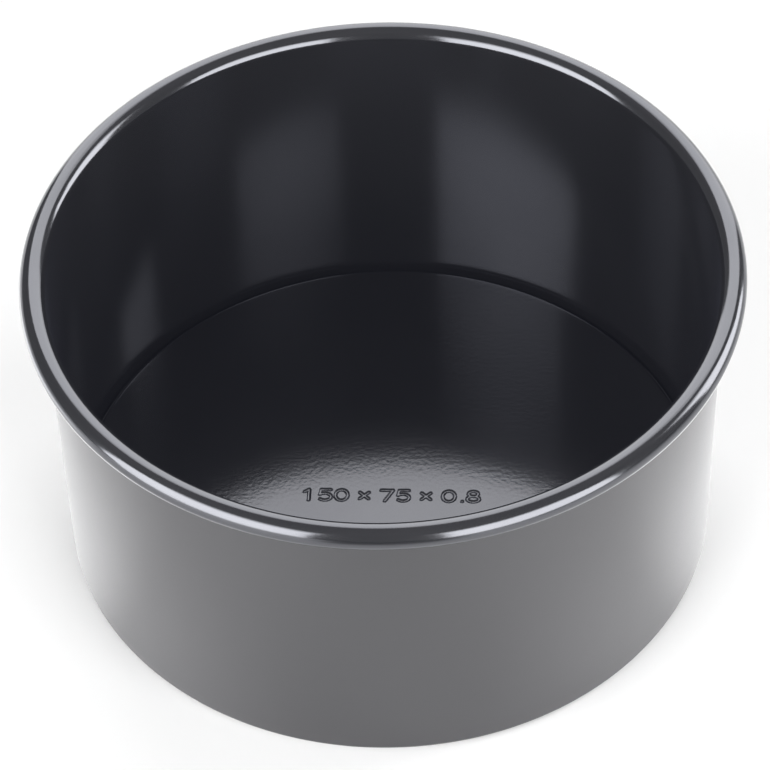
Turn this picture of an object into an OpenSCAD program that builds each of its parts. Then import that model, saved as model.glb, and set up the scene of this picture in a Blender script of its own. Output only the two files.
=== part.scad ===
// Loose-bottom cake pan. A drawn ring has a rolled rim with a wire in it, and its lower edge
// turns inward as a ledge. A pressed base rests on the ledge and lifts out through the mouth.
// Millimetres, +Z up. The origin is the centre of the ledge's underside, where the pan stands.

/* [Ring] */
// Inner diameter at the mouth
mouth_d = 150; // [120:1:300]
// Height over the rim
pan_h = 79.5; // [50:0.5:120]
// How much closer the wall stands to the axis at the floor than at the mouth
wall_draft = 1; // [0:0.1:3]
// Thickness of the sheet that the ring and the base are pressed from
sheet_t = 0.8; // [0.5:0.05:1.1]
// Outer radius of the corner between wall and ledge
corner_r = 1.5; // [1.3:0.1:4]
// Width of the ledge, from the wall's inner face to the edge of the hole
ledge_w = 6; // [5.5:0.5:15]

/* [Rim] */
// Diameter of the rolled bead
bead_d = 5.7; // [4:0.1:7]
// Gap between the cut edge of the roll and the wall
roll_gap = 0.15; // [0.05:0.05:0.4]
// Clearance round the wire in the roll
wire_clear = 0.05; // [0.02:0.01:0.15]
// Gap between the two ends of the wire
wire_break = 1.5; // [0.5:0.1:4]

/* [Base] */
// Height of the base's flat top above the ledge that it rests on
base_h = 2.1; // [2:0.05:4]
// Inner radius of the rounded edge round the base
edge_in_r = 0.2; // [0.1:0.05:0.8]
// How far the rim of the base turns down from the flat top, in degrees
rim_turn = 85; // [65:1:89]
// Clearance between the base's rim and the start of the ring's corner
base_clear = 0.3; // [0.2:0.05:1]

/* [Hidden] */
$fn = 144;

// Ring
mouth_r = mouth_d / 2;
floor_r = mouth_r - wall_draft;
corner_in_r = corner_r - sheet_t;
corner_c = [floor_r - corner_in_r, corner_r];
hole_r = floor_r - ledge_w;
// Rim
bead_r = bead_d / 2;
roll_in_r = bead_r - sheet_t;
bead_c = [mouth_r + bead_r, pan_h - bead_r];
wire_r = roll_in_r - wire_clear;
wire_break_a = 2 * asin(wire_break / (2 * bead_c.x));
// The wall is the straight sheet tangent to the corner and to the bead, leaning out by lean
rise = bead_c - corner_c;
lean = acos((corner_r + roll_in_r) / norm(rise)) - atan2(rise.y, rise.x);
// Angle below the bead's tangent with the wall at which the roll is cut
cut_a = acos((roll_in_r - roll_gap) / bead_r);
wall_a = 180 - lean;
roll_end_a = wall_a + cut_a - 360;
// Base
foot_z = sheet_t;
top_z = foot_z + base_h;
base_r = corner_c.x - base_clear;
edge_r = edge_in_r + sheet_t;
edge_a = 90 - rim_turn;
// The rim runs straight from the rounded edge down to the foot, and spreads by a share of its height
spread_share = tan(edge_a);
edge_drop = base_h - edge_r + edge_r * sin(edge_a);
edge_c = [base_r - edge_drop * spread_share - edge_r * cos(edge_a), top_z - edge_r];
foot_in_r = edge_c.x + edge_in_r * cos(edge_a) + (edge_c.y + edge_in_r * sin(edge_a) - foot_z) * spread_share;
// Steps along the round stretches of the sections
bend_steps = 12;
roll_steps = 56;

// Points along an arc round c, from the angle a0 to a1
function arc(c, r, a0, a1, steps) =
    [for (i = [0:steps]) let (a = a0 + (a1 - a0) * i / steps) c + r * [cos(a), sin(a)]];

// Section of the ring: ledge, corner, wall and roll, out along the outer face and back along the inner
module side_wall() {
    color([0.30, 0.30, 0.31]) rotate_extrude() polygon([
        [hole_r, 0],
        each arc(corner_c, corner_r, -90, -lean, bend_steps),
        each arc(bead_c, roll_in_r, wall_a, roll_end_a, roll_steps),
        each arc(bead_c, bead_r, roll_end_a, wall_a, roll_steps),
        each arc(corner_c, corner_in_r, -lean, -90, bend_steps),
        [hole_r, sheet_t]
    ]);
}

module rim_wire() {
    color([0.62, 0.62, 0.63]) rotate([0, 0, wire_break_a / 2])
        rotate_extrude(angle = 360 - wire_break_a)
            translate(bead_c) circle(wire_r);
}

// Section of the base: flat top, rounded edge, and a turned-down rim cut level to stand on the ledge
module loose_base() {
    color([0.20, 0.20, 0.22]) rotate_extrude() polygon([
        [0, top_z],
        each arc(edge_c, edge_r, 90, edge_a, bend_steps),
        [base_r, foot_z],
        [foot_in_r, foot_z],
        each arc(edge_c, edge_in_r, edge_a, 90, bend_steps),
        [0, top_z - sheet_t]
    ]);
}

side_wall();
rim_wire();
loose_base();
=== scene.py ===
import math

import bpy
import numpy as np
from mathutils import Matrix, Vector


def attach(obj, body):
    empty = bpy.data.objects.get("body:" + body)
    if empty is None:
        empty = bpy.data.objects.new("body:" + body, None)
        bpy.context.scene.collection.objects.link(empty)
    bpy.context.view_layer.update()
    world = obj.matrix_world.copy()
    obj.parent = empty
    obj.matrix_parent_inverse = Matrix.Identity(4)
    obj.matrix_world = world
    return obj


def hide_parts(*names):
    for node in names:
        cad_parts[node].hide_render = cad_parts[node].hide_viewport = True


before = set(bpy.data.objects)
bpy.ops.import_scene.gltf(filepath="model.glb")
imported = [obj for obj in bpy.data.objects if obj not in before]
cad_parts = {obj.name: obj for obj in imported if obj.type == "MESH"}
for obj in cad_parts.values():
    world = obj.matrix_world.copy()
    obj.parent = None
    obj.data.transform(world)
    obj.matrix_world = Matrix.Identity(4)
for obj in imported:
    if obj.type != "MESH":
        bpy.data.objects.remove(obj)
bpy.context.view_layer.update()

MM = 0.001

# Sizes of the pan in millimetres, the same as in the CAD source
MOUTH_R = 75.0
PAN_H = 79.5
DRAFT = 1.0
SHEET = 0.8
CORNER_R = 1.5
LEDGE_W = 6.0
BEAD_R = 2.85
ROLL_GAP = 0.15
BASE_H = 2.1
EDGE_IN_R = 0.2
RIM_TURN = 85.0
BASE_CLEAR = 0.3

FLOOR_R = MOUTH_R - DRAFT
CORNER_IN_R = CORNER_R - SHEET
CORNER_C = (FLOOR_R - CORNER_IN_R, CORNER_R)
HOLE_R = FLOOR_R - LEDGE_W
ROLL_IN_R = BEAD_R - SHEET
BEAD_C = (MOUTH_R + BEAD_R, PAN_H - BEAD_R)
RISE = (BEAD_C[0] - CORNER_C[0], BEAD_C[1] - CORNER_C[1])
# The wall's lean off the vertical, and the angles round the bead where the wall and the cut edge are
LEAN = math.degrees(math.acos((CORNER_R + ROLL_IN_R) / math.hypot(*RISE)) - math.atan2(RISE[1], RISE[0]))
CUT_A = math.degrees(math.acos((ROLL_IN_R - ROLL_GAP) / BEAD_R))
WALL_A = 180 - LEAN
ROLL_END_A = WALL_A + CUT_A - 360
TOP_Z = SHEET + BASE_H
BASE_R = CORNER_C[0] - BASE_CLEAR
EDGE_R = EDGE_IN_R + SHEET
EDGE_A = 90 - RIM_TURN
COS_EDGE = math.cos(math.radians(EDGE_A))
SIN_EDGE = math.sin(math.radians(EDGE_A))
SPREAD = SIN_EDGE / COS_EDGE
EDGE_C = (BASE_R - (BASE_H - EDGE_R + EDGE_R * SIN_EDGE) * SPREAD - EDGE_R * COS_EDGE, TOP_Z - EDGE_R)
FOOT_IN_R = EDGE_C[0] + EDGE_IN_R * COS_EDGE + (EDGE_C[1] + EDGE_IN_R * SIN_EDGE - SHEET) * SPREAD


# Node materials
class Signal:
    """One number socket of a node tree. Arithmetic on it adds Math nodes."""

    def __init__(self, tree, socket):
        self.tree = tree
        self.socket = socket

    def math(self, operation, *values):
        node = self.tree.nodes.new("ShaderNodeMath")
        node.operation = operation
        for slot, value in zip(node.inputs, values):
            connect(self.tree, slot, value)
        return Signal(self.tree, node.outputs[0])

    def __add__(self, other):
        return self.math("ADD", self, other)

    def __radd__(self, other):
        return self.math("ADD", other, self)

    def __sub__(self, other):
        return self.math("SUBTRACT", self, other)

    def __rsub__(self, other):
        return self.math("SUBTRACT", other, self)

    def __mul__(self, other):
        return self.math("MULTIPLY", self, other)

    def __rmul__(self, other):
        return self.math("MULTIPLY", other, self)

    def __truediv__(self, other):
        return self.math("DIVIDE", self, other)

    def __pow__(self, other):
        return self.math("POWER", self, other)

    def __abs__(self):
        return self.math("ABSOLUTE", self)


def connect(tree, slot, value):
    """Links a signal to a node's input, or sets the input to a plain value."""
    if isinstance(value, Signal):
        tree.links.new(value.socket, slot)
    else:
        slot.default_value = value


class Graph:
    """The node tree of one material or world."""

    def __init__(self, owner):
        owner.use_nodes = True
        self.tree = owner.node_tree
        self.tree.nodes.clear()

    def node(self, kind, settings=None, inputs=None, output=0):
        """Adds a node: its settings first, then its input values and links. Returns one of its outputs."""
        node = self.tree.nodes.new(kind)
        for name, value in (settings or {}).items():
            setattr(node, name, value)
        for name, value in (inputs or {}).items():
            connect(self.tree, node.inputs[name], value)
        return Signal(self.tree, node.outputs[output])

    def place(self):
        return self.node("ShaderNodeTexCoord", output="Object")

    def split(self, vector):
        """The three parts of a vector as signals."""
        node = self.tree.nodes.new("ShaderNodeSeparateXYZ")
        connect(self.tree, node.inputs[0], vector)
        return [Signal(self.tree, output) for output in node.outputs]

    def noise(self, vector, scale, detail=2.0, roughness=0.5):
        return self.node("ShaderNodeTexNoise", {}, {
            "Vector": vector,
            "Scale": scale,
            "Detail": detail,
            "Roughness": roughness,
        })

    def ramp(self, value, low, high, to_low=0.0, to_high=1.0):
        return self.node("ShaderNodeMapRange", {"interpolation_type": "SMOOTHSTEP"}, {
            "Value": value,
            "From Min": low,
            "From Max": high,
            "To Min": to_low,
            "To Max": to_high,
        })

    def blend_colour(self, factor, a, b):
        return self.node("ShaderNodeMix", {"data_type": "RGBA"}, {0: factor, 6: a, 7: b}, output=2)

    def finish(self, shader, kind="ShaderNodeOutputMaterial"):
        end = self.tree.nodes.new(kind)
        self.tree.links.new(shader.socket, end.inputs["Surface"])


# Coating: tints of the gloss, colour of the satin outside, and how metallic both are
GLOSS_TINT = (1.0, 1.015, 1.10)
GLOSS_DEEP_TINT = (0.94, 0.955, 1.04)
SATIN = (0.119, 0.118, 0.122, 1.0)
SHEEN = 0.90
# Painted glow: a faint constant emission that lifts the coating's darkest parts
PAINTED_GLOW = (0.0056, 0.0059, 0.0082, 1.0)
# How far the roughness varies over the gloss, and how far more over the satin
CLOUD_ROUGH = 0.04
FLECK_ROUGH = 0.10
# Dark and bright tone of the drawn wire
STEEL_DEEP = (0.46, 0.46, 0.47, 1.0)
STEEL = (0.60, 0.60, 0.60, 1.0)


def tinted(tone, tint):
    return (*(tone * part for part in tint), 1.0)


def coating(name, tone, peel_scale, peel_depth, inside_rough, outside_rough=None):
    """Dark non-stick coating on steel: a faintly blue gloss, and satin grey where the mesh says outside."""
    material = bpy.data.materials.new(name)
    g = Graph(material)
    place = g.place()
    cloud = g.noise(place, scale=38.0, detail=3.0, roughness=0.55)
    fleck = g.noise(place, scale=5200.0, detail=1.0)
    peel = g.noise(place, peel_scale)
    gloss = tinted(tone, GLOSS_TINT)
    gloss_deep = tinted(tone, GLOSS_DEEP_TINT)
    colour = g.blend_colour(g.ramp(cloud, 0.35, 0.65), gloss_deep, gloss)
    rough = inside_rough + (cloud - 0.5) * CLOUD_ROUGH
    if outside_rough is not None:
        outside = g.node("ShaderNodeAttribute", {"attribute_name": "outside"}, output="Fac")
        colour = g.blend_colour(outside, colour, SATIN)
        rough = rough + outside * (outside_rough - inside_rough) + outside * (fleck - 0.5) * FLECK_ROUGH
    normal = g.node("ShaderNodeBump", {}, {"Strength": 1.0, "Distance": peel_depth, "Height": peel})
    shader = g.node("ShaderNodeBsdfPrincipled", {}, {
        "Base Color": colour,
        "Metallic": SHEEN,
        "Roughness": rough,
        # Painted glow: the coating emits a faint constant light
        "Emission Color": PAINTED_GLOW,
        "Emission Strength": 1.0,
        "Normal": normal,
    })
    g.finish(shader)
    return material


def drawn_wire(name):
    """Bright drawn steel with a fine grain and small changes of tone."""
    material = bpy.data.materials.new(name)
    g = Graph(material)
    place = g.place()
    tone = g.noise(place, scale=160.0, detail=3.0, roughness=0.6)
    grain = g.noise(place, scale=2600.0)
    colour = g.blend_colour(g.ramp(tone, 0.3, 0.7), STEEL_DEEP, STEEL)
    normal = g.node("ShaderNodeBump", {}, {"Strength": 0.6, "Distance": 0.00002, "Height": grain})
    shader = g.node("ShaderNodeBsdfPrincipled", {}, {
        "Base Color": colour,
        "Metallic": 1.0,
        "Roughness": 0.28 + tone * 0.12,
        "Normal": normal,
    })
    g.finish(shader)
    return material


# Meshes
def oval(cx, cy, rx, ry, start, end, steps=14):
    """Points along a stretch of an oval from the angle start to the angle end, in degrees."""
    turns = np.radians(np.linspace(start, end, steps + 1))
    return [(cx + rx * math.cos(t), cy + ry * math.sin(t)) for t in turns]


def arc(centre, radius, start, end, steps):
    return oval(*centre, radius, radius, start, end, steps)


def line(a, b, steps):
    """Points between a and b, without the two ends."""
    return [(a[0] + (b[0] - a[0]) * i / steps, a[1] + (b[1] - a[1]) * i / steps) for i in range(1, steps)]


def make_object(name, points, faces):
    mesh = bpy.data.meshes.new(name)
    mesh.from_pydata([tuple(p) for p in np.asarray(points) * MM], [], faces)
    mesh.polygons.foreach_set("use_smooth", [True] * len(mesh.polygons))
    mesh.update()
    piece = bpy.data.objects.new(name, mesh)
    bpy.context.scene.collection.objects.link(piece)
    return piece


def bridge(loop, next_loop):
    """The faces between two closed loops of point numbers."""
    ahead = loop[1:] + loop[:1]
    next_ahead = next_loop[1:] + next_loop[:1]
    return list(zip(loop, next_loop, next_ahead, ahead))


def lathe(profile, columns):
    """Turns a closed section round the Z axis. Returns the points and the faces, row after row."""
    rows = len(profile)
    turn = np.linspace(0, 2 * math.pi, columns, endpoint=False)
    section = np.asarray(profile)
    points = np.empty((rows, columns, 3))
    points[:, :, 0] = section[:, :1] * np.cos(turn)
    points[:, :, 1] = section[:, :1] * np.sin(turn)
    points[:, :, 2] = section[:, 1:]
    faces = []
    for i in range(rows):
        j = (i + 1) % rows
        for k in range(columns):
            m = (k + 1) % columns
            faces.append((i * columns + k, i * columns + m, j * columns + m, j * columns + k))
    return points.reshape(-1, 3), faces


# The ring: columns round it, steps along its section, and the bevel round the hole's edges
RING_COLUMNS = 384
OUTER_CORNER_STEPS = 14
INNER_CORNER_STEPS = 10
ROLL_IN_STEPS = 40
ROLL_OUT_STEPS = 84
WALL_STEPS = 26
LEDGE_STEPS = 4
HOLE_CUT = 0.12
HOLE_CUT_MIDDLE = 0.3
# Angles below the bead's outermost point over which the gloss turns to satin, and the roll's far side
SATIN_START = 50
SATIN_FADE = 25
ROLL_FAR_SIDE = -170


def ring_section():
    """The ring's closed section, and for each point how far it belongs to the satin outside (0 to 1)."""
    cut = HOLE_CUT
    middle = HOLE_CUT * HOLE_CUT_MIDDLE
    outer_corner = arc(CORNER_C, CORNER_R, -90, -LEAN, OUTER_CORNER_STEPS)
    inner_corner = arc(CORNER_C, CORNER_IN_R, -LEAN, -90, INNER_CORNER_STEPS)
    roll_in = arc(BEAD_C, ROLL_IN_R, WALL_A, ROLL_END_A, ROLL_IN_STEPS)
    roll_out = arc(BEAD_C, BEAD_R, ROLL_END_A, WALL_A, ROLL_OUT_STEPS)
    parts = [
        [(HOLE_R, cut), (HOLE_R + middle, middle), (HOLE_R + cut, 0)],
        line((HOLE_R + cut, 0), outer_corner[0], LEDGE_STEPS),
        outer_corner,
        line(outer_corner[-1], roll_in[0], WALL_STEPS),
        roll_in,
    ]
    points = [p for stretch in parts for p in stretch]
    outside = [1.0] * len(points)
    for p in roll_out:
        turn = math.degrees(math.atan2(p[1] - BEAD_C[1], p[0] - BEAD_C[0]))
        points.append(p)
        fade = min(1.0, max(0.0, (-turn - SATIN_START) / SATIN_FADE))
        outside.append(fade if turn > ROLL_FAR_SIDE else 1.0)
    inner = line(roll_out[-1], inner_corner[0], WALL_STEPS) + inner_corner
    inner += line(inner_corner[-1], (HOLE_R + cut, SHEET), LEDGE_STEPS)
    inner += [(HOLE_R + cut, SHEET), (HOLE_R + middle, SHEET - middle), (HOLE_R, SHEET - cut)]
    points += inner
    outside += [0.0] * len(inner)
    return points, outside


def build_side_wall():
    section, outside = ring_section()
    points, faces = lathe(section, RING_COLUMNS)
    piece = make_object("side_wall_coated", points, faces)
    layer = piece.data.attributes.new("outside", "FLOAT", "POINT")
    layer.data.foreach_set("value", np.repeat(np.array(outside, np.float32), RING_COLUMNS))
    return piece


# The numbers pressed into the base: strokes in a box one wide and one high
GLYPHS = {
    "1": [[(0.18, 0.78), (0.50, 1.0), (0.50, 0.0)]],
    "5": [[(0.88, 1.0), (0.20, 1.0), (0.12, 0.55)] + oval(0.48, 0.33, 0.44, 0.33, 112, -140)],
    "0": [oval(0.5, 0.5, 0.44, 0.5, 0, 360, 28)],
    "7": [[(0.08, 1.0), (0.92, 1.0), (0.36, 0.0)]],
    "8": [oval(0.5, 0.76, 0.34, 0.24, 0, 360, 20), oval(0.5, 0.27, 0.43, 0.27, 0, 360, 22)],
    "x": [[(0.18, 0.18), (0.82, 0.78)], [(0.18, 0.78), (0.82, 0.18)]],
    ".": [[(0.30, 0.02), (0.30, 0.04)]],
}
MARK = "150 x 75 x 0.8"
# Its centre, turn in degrees and height, and the widths and steps of its characters
MARK_C = (0.3, -1.65)
MARK_TURN = -3.4
MARK_H = 3.3
GLYPH_W = 3.3
GLYPH_GAP = 0.55
GLYPH_STEP = {" ": 1.5, ".": 1.9}
# Width and depth of a stroke, and the share of its width that is its flat bottom
STROKE_W = 0.95
STROKE_DEPTH = 0.18
STROKE_FLAT = 0.38
# The fine patch of the base's mesh round the mark: half its length and width, and its cells
PATCH = (23.0, 3.6)
PATCH_CELLS = (300, 48)
# The base: rings from the patch to the edge, how fast they widen, steps round the edge, bevel at the foot
BASE_RINGS = 14
RING_EASE = 1.6
EDGE_STEPS = 16
EDGE_IN_STEPS = 10
FOOT_CUT = 0.06


def mark_strokes():
    """The strokes of the mark as pairs of end points, in millimetres, centred on the origin."""
    x = 0.0
    pairs = []
    for glyph in MARK:
        for stroke in GLYPHS.get(glyph, []):
            at = [(x + px * GLYPH_W, (py - 0.5) * MARK_H) for px, py in stroke]
            pairs += list(zip(at[:-1], at[1:]))
        x += GLYPH_STEP.get(glyph, GLYPH_W + GLYPH_GAP)
    strokes = np.array(pairs) - ((x - GLYPH_GAP) / 2, 0.0)
    turn = math.radians(MARK_TURN)
    return strokes @ np.array([(math.cos(turn), math.sin(turn)), (-math.sin(turn), math.cos(turn))])


def mark_relief(xy):
    """Depth of the pressed mark below the flat of the base at each point."""
    nearest = np.full(len(xy), 1e9)
    for a, b in mark_strokes():
        along = b - a
        share = np.clip(((xy - a) @ along) / max(along @ along, 1e-9), 0, 1)
        gap = np.linalg.norm(xy - a - share[:, None] * along, axis=1)
        nearest = np.minimum(nearest, gap)
    share = np.clip((nearest / (STROKE_W / 2) - STROKE_FLAT) / (1 - STROKE_FLAT), 0, 1)
    return STROKE_DEPTH * 0.5 * (1 + np.cos(math.pi * share))


def base_skin(z, edge_r, edge_profile):
    """One face of the base: a fine patch round the mark, rings out to the edge, then the rim.

    Returns the points, the faces and the numbers of the last loop's points.
    """
    nx, ny = PATCH_CELLS
    gx = np.linspace(-PATCH[0], PATCH[0], nx + 1)
    gy = np.linspace(-PATCH[1], PATCH[1], ny + 1)
    xx, yy = np.meshgrid(gx, gy)
    flat = np.stack([xx.ravel(), yy.ravel()], 1)
    depth = mark_relief(flat)
    points = [np.column_stack([flat + MARK_C, z - depth])]
    faces = []
    for j in range(ny):
        for i in range(nx):
            a = j * (nx + 1) + i
            faces.append((a, a + 1, a + nx + 2, a + nx + 1))
    rim = list(range(nx + 1))
    rim += [j * (nx + 1) + nx for j in range(1, ny + 1)]
    rim += [ny * (nx + 1) + i for i in range(nx - 1, -1, -1)]
    rim += [j * (nx + 1) for j in range(ny - 1, 0, -1)]
    columns = len(rim)
    first = flat[rim] + MARK_C
    corner = math.atan2(-PATCH[1], -PATCH[0])
    turn = corner + np.arange(columns) * 2 * math.pi / columns
    circle = np.stack([np.cos(turn), np.sin(turn)], 1)
    total = len(points[0])
    previous = rim
    loops = []
    for k in range(1, BASE_RINGS + 1):
        ease = 1 - (1 - k / BASE_RINGS) ** RING_EASE
        loops.append(np.column_stack([first * (1 - ease) + circle * edge_r * ease, np.full(columns, z)]))
    for r, height in edge_profile:
        loops.append(np.column_stack([circle * r, np.full(columns, height)]))
    for loop in loops:
        here = list(range(total, total + columns))
        points.append(loop)
        faces += bridge(previous, here)
        previous = here
        total += columns
    return np.concatenate(points), faces, previous


def build_base():
    top = arc(EDGE_C, EDGE_R, 90, EDGE_A, EDGE_STEPS)
    low = arc(EDGE_C, EDGE_IN_R, 90, EDGE_A, EDGE_IN_STEPS)
    top += [(BASE_R - SPREAD * FOOT_CUT, SHEET + FOOT_CUT), (BASE_R - FOOT_CUT, SHEET)]
    low += [(FOOT_IN_R - SPREAD * FOOT_CUT, SHEET + FOOT_CUT), (FOOT_IN_R + FOOT_CUT, SHEET)]
    upper, upper_faces, upper_edge = base_skin(TOP_Z, top[0][0], top[1:])
    lower, lower_faces, lower_edge = base_skin(TOP_Z - SHEET, low[0][0], low[1:])
    shift = len(upper)
    faces = upper_faces + [tuple(shift + v for v in reversed(face)) for face in lower_faces]
    faces += bridge(upper_edge, [shift + v for v in lower_edge])
    return make_object("base_pressed", np.concatenate([upper, lower]), faces)


side_wall = build_side_wall()
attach(side_wall, "pan_ring")
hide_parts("side_wall")
side_wall.data.materials.append(coating(
    "coating_wall", tone=0.127, peel_scale=900.0, peel_depth=0.000004,
    inside_rough=0.135, outside_rough=0.34))

base = build_base()
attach(base, "base")
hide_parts("loose_base")
base.data.materials.append(coating(
    "coating_base", tone=0.102, peel_scale=1000.0, peel_depth=0.000016, inside_rough=0.122))

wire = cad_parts["rim_wire"]
wire.data.materials.clear()
wire.data.materials.append(drawn_wire("wire_drawn_steel"))


# Studio, in metres
WHITE = (1.0, 1.0, 1.0, 1.0)
FLOOR_SIZE = 6.0
FLOOR_DROP = 0.0002
FLOOR_TONE = (0.86, 0.86, 0.86, 1.0)
MIRRORED_TONE = 0.80
# Painted glow on the floor round the foot of the pan, seen only in the pan's reflections: toward its two
# sides, and more at their very ends
SIDE_GLOW = 0.56
END_GLOW = 0.80
# A painted pool of light on the floor at the left, and painted light on the ground behind the pan
PAINTED_SPOT_C = (-0.225, 0.055)
PAINTED_SPOT_GLOW = 2.4
BEHIND_GLOW = 0.6
# How much painted shade darkens the lane in front of the pan and the far right
LANE_PAINTED_SHADE = 0.72
RIGHT_PAINTED_SHADE = 0.45


def plain_floor():
    """A pale floor with the pan's shadow, plain white farther away and see-through from below.

    What the pan mirrors of it is a darker ground with a few glows, as the photograph's reflections show.
    """
    size = FLOOR_SIZE / MM
    corners = [(-size, -size, 0), (size, -size, 0), (size, size, 0), (-size, size, 0)]
    floor = make_object("studio_floor", corners, [(0, 1, 2, 3)])
    floor.location.z = -FLOOR_DROP
    material = bpy.data.materials.new("floor_pale")
    g = Graph(material)
    x, y = g.split(g.place())[:2]
    away = (x * x + y * y) ** 0.5
    # 0 straight in front of the pan and behind it, 1 straight beside it
    sideways = abs(x) / away
    side = g.ramp(sideways, 0.20, 0.90) * SIDE_GLOW + g.ramp(sideways, 0.84, 0.99) * END_GLOW
    beside = g.ramp(away, 0.060, 0.074) * g.ramp(away, 0.085, 0.14, 1.0, 0.0) * side
    spot_away = ((x - PAINTED_SPOT_C[0]) ** 2.0 + (y - PAINTED_SPOT_C[1]) ** 2.0) ** 0.5
    painted_spot = g.ramp(spot_away, 0.03, 0.13, 1.0, 0.0)
    behind = g.ramp(y, 0.12, 0.30)
    lane = g.ramp(y * -1.0, 0.10, 0.32) * g.ramp(abs(x / y), 0.20, 0.42, 1.0, 0.0)
    right_shade = g.ramp(away, 0.16, 0.55) * g.ramp(x / away, 0.25, 0.65)
    mirrored = g.node("ShaderNodeBsdfPrincipled", {}, {
        # Painted shade on the reflected floor: darker in the lane in front of the pan and at the far right
        "Base Color": MIRRORED_TONE - LANE_PAINTED_SHADE * lane - RIGHT_PAINTED_SHADE * right_shade,
        "Roughness": 1.0,
        "Specular IOR Level": 0.0,
        # Painted light on the reflected floor: glows round the pan's foot, a spot at the left and the
        # ground behind
        "Emission Color": beside + painted_spot * PAINTED_SPOT_GLOW + behind * BEHIND_GLOW,
        "Emission Strength": 1.0,
    })
    lit = g.node("ShaderNodeBsdfDiffuse", {}, {"Color": FLOOR_TONE})
    white = g.node("ShaderNodeEmission", {}, {"Color": WHITE, "Strength": 1.0})
    above = g.node("ShaderNodeMixShader", {}, {0: g.ramp(away, 0.22, 0.50), 1: lit, 2: white})
    below = g.node("ShaderNodeNewGeometry", output="Backfacing")
    clear = g.node("ShaderNodeBsdfTransparent", {}, {"Color": WHITE})
    pale = g.node("ShaderNodeMixShader", {}, {0: below, 1: above, 2: clear})
    seen = g.node("ShaderNodeLightPath", output="Is Camera Ray")
    g.finish(g.node("ShaderNodeMixShader", {}, {0: seen, 1: mirrored, 2: pale}))
    floor.data.materials.append(material)


def studio_world(strength):
    """Even light of the given strength from all round. The camera sees plain white."""
    world = bpy.data.worlds.new("studio_world")
    bpy.context.scene.world = world
    g = Graph(world)
    seen = g.node("ShaderNodeLightPath", output="Is Camera Ray")
    around = g.node("ShaderNodeBackground", {}, {"Color": WHITE, "Strength": strength})
    behind = g.node("ShaderNodeBackground", {}, {"Color": WHITE, "Strength": 1.0})
    both = g.node("ShaderNodeMixShader", {}, {0: seen, 1: around, 2: behind})
    g.finish(both, "ShaderNodeOutputWorld")


def soft_light(name, place, width, height, radiance):
    """A soft area light that the camera doesn't see. It faces down."""
    light = bpy.data.lights.new(name, "AREA")
    light.shape = "RECTANGLE"
    light.size = width
    light.size_y = height
    light.energy = radiance * math.pi * width * height
    lamp = bpy.data.objects.new(name, light)
    lamp.location = place
    lamp.visible_camera = False
    bpy.context.scene.collection.objects.link(lamp)
    return lamp


def panel(name, azimuth, distance, width, steps):
    """A standing soft panel that faces the pan. Azimuth 0 is the camera's side and 90 the pan's right.

    Its steps of height are (low, high, radiance, width left off). The width is left off at the
    step's left end, or at its right end where it is negative.
    """
    turn = math.radians(azimuth)
    sin_turn, cos_turn = math.sin(turn), math.cos(turn)
    toward = Vector((-sin_turn, cos_turn, 0))
    for i, (low, high, radiance, short) in enumerate(steps):
        place = (sin_turn * distance, -cos_turn * distance, (low + high) / 2)
        lamp = soft_light(f"{name}_{i}", place, width - abs(short), high - low, radiance)
        lamp.location.x += cos_turn * short / 2
        lamp.location.y += sin_turn * short / 2
        lamp.rotation_mode = "QUATERNION"
        lamp.rotation_quaternion = toward.to_track_quat("-Z", "Y")


plain_floor()
studio_world(strength=0.17)
panel("left_front", azimuth=-50.5, distance=0.70, width=0.78, steps=[
    (-0.03, 0.08, 3.8, 0.08), (0.08, 0.60, 5.6, 0.0), (0.60, 0.68, 5.0, 0.03), (0.68, 0.75, 3.9, 0.05),
    (0.75, 0.82, 2.7, 0.08), (0.82, 0.94, 1.6, 0.12)])
panel("right_front", azimuth=37.3, distance=0.70, width=0.60, steps=[
    (0.0, 0.08, 4.6, 0.0), (0.08, 0.50, 5.5, 0.0), (0.50, 0.58, 5.3, -0.06), (0.58, 0.66, 3.5, -0.10),
    (0.66, 0.75, 1.4, -0.10)])
panel("right_side", azimuth=108, distance=0.70, width=0.36, steps=[
    (0.06, 0.12, 3.0, 0.0), (0.12, 0.36, 5.6, 0.0), (0.36, 0.50, 5.6, -0.06), (0.50, 0.58, 5.2, -0.10),
    (0.58, 0.67, 3.8, -0.12), (0.67, 0.78, 1.9, -0.12)])
panel("back", azimuth=173, distance=0.90, width=1.30, steps=[
    (0.06, 0.26, 1.9, 0.0), (0.26, 1.26, 2.6, 0.0), (1.26, 1.65, 1.6, 0.0)])
soft_light("overhead", place=(0, 0, 1.7), width=2.6, height=2.6, radiance=0.06)


# Camera, from the photograph: millimetres, degrees and pixels of a 770 px frame
def level_axes(ahead):
    """The level right and the up of a camera that looks along ahead."""
    right = ahead.cross(Vector((0, 0, 1))).normalized()
    return right, right.cross(ahead)


def photo_camera():
    frame_px = 770.0
    elevation, distance, focal_px = math.radians(47.2889), 922.52, 4018.92
    roll, yaw, pitch = math.radians(-1.8474), math.radians(-0.0173), math.radians(0.1832)
    aim_z = 35.0
    cos_e, sin_e = math.cos(elevation), math.sin(elevation)
    place = Vector((0, -distance * cos_e, aim_z + distance * sin_e))
    ahead = Vector((0, cos_e, -sin_e))
    right, up = level_axes(ahead)
    ahead = (ahead + math.tan(yaw) * right + math.tan(pitch) * up).normalized()
    right, up = level_axes(ahead)
    right, up = (math.cos(roll) * right + math.sin(roll) * up,
                 -math.sin(roll) * right + math.cos(roll) * up)
    data = bpy.data.cameras.new("photo_camera")
    data.sensor_fit = "HORIZONTAL"
    data.sensor_width = 36.0
    data.lens = focal_px / frame_px * data.sensor_width
    data.clip_start = 0.01
    data.clip_end = 50.0
    camera = bpy.data.objects.new("photo_camera", data)
    turn = Matrix((right, up, -ahead)).transposed()
    camera.matrix_world = Matrix.Translation(place * MM) @ turn.to_4x4()
    bpy.context.scene.collection.objects.link(camera)
    bpy.context.scene.camera = camera


photo_camera()
bpy.context.scene.view_settings.view_transform = "Standard"
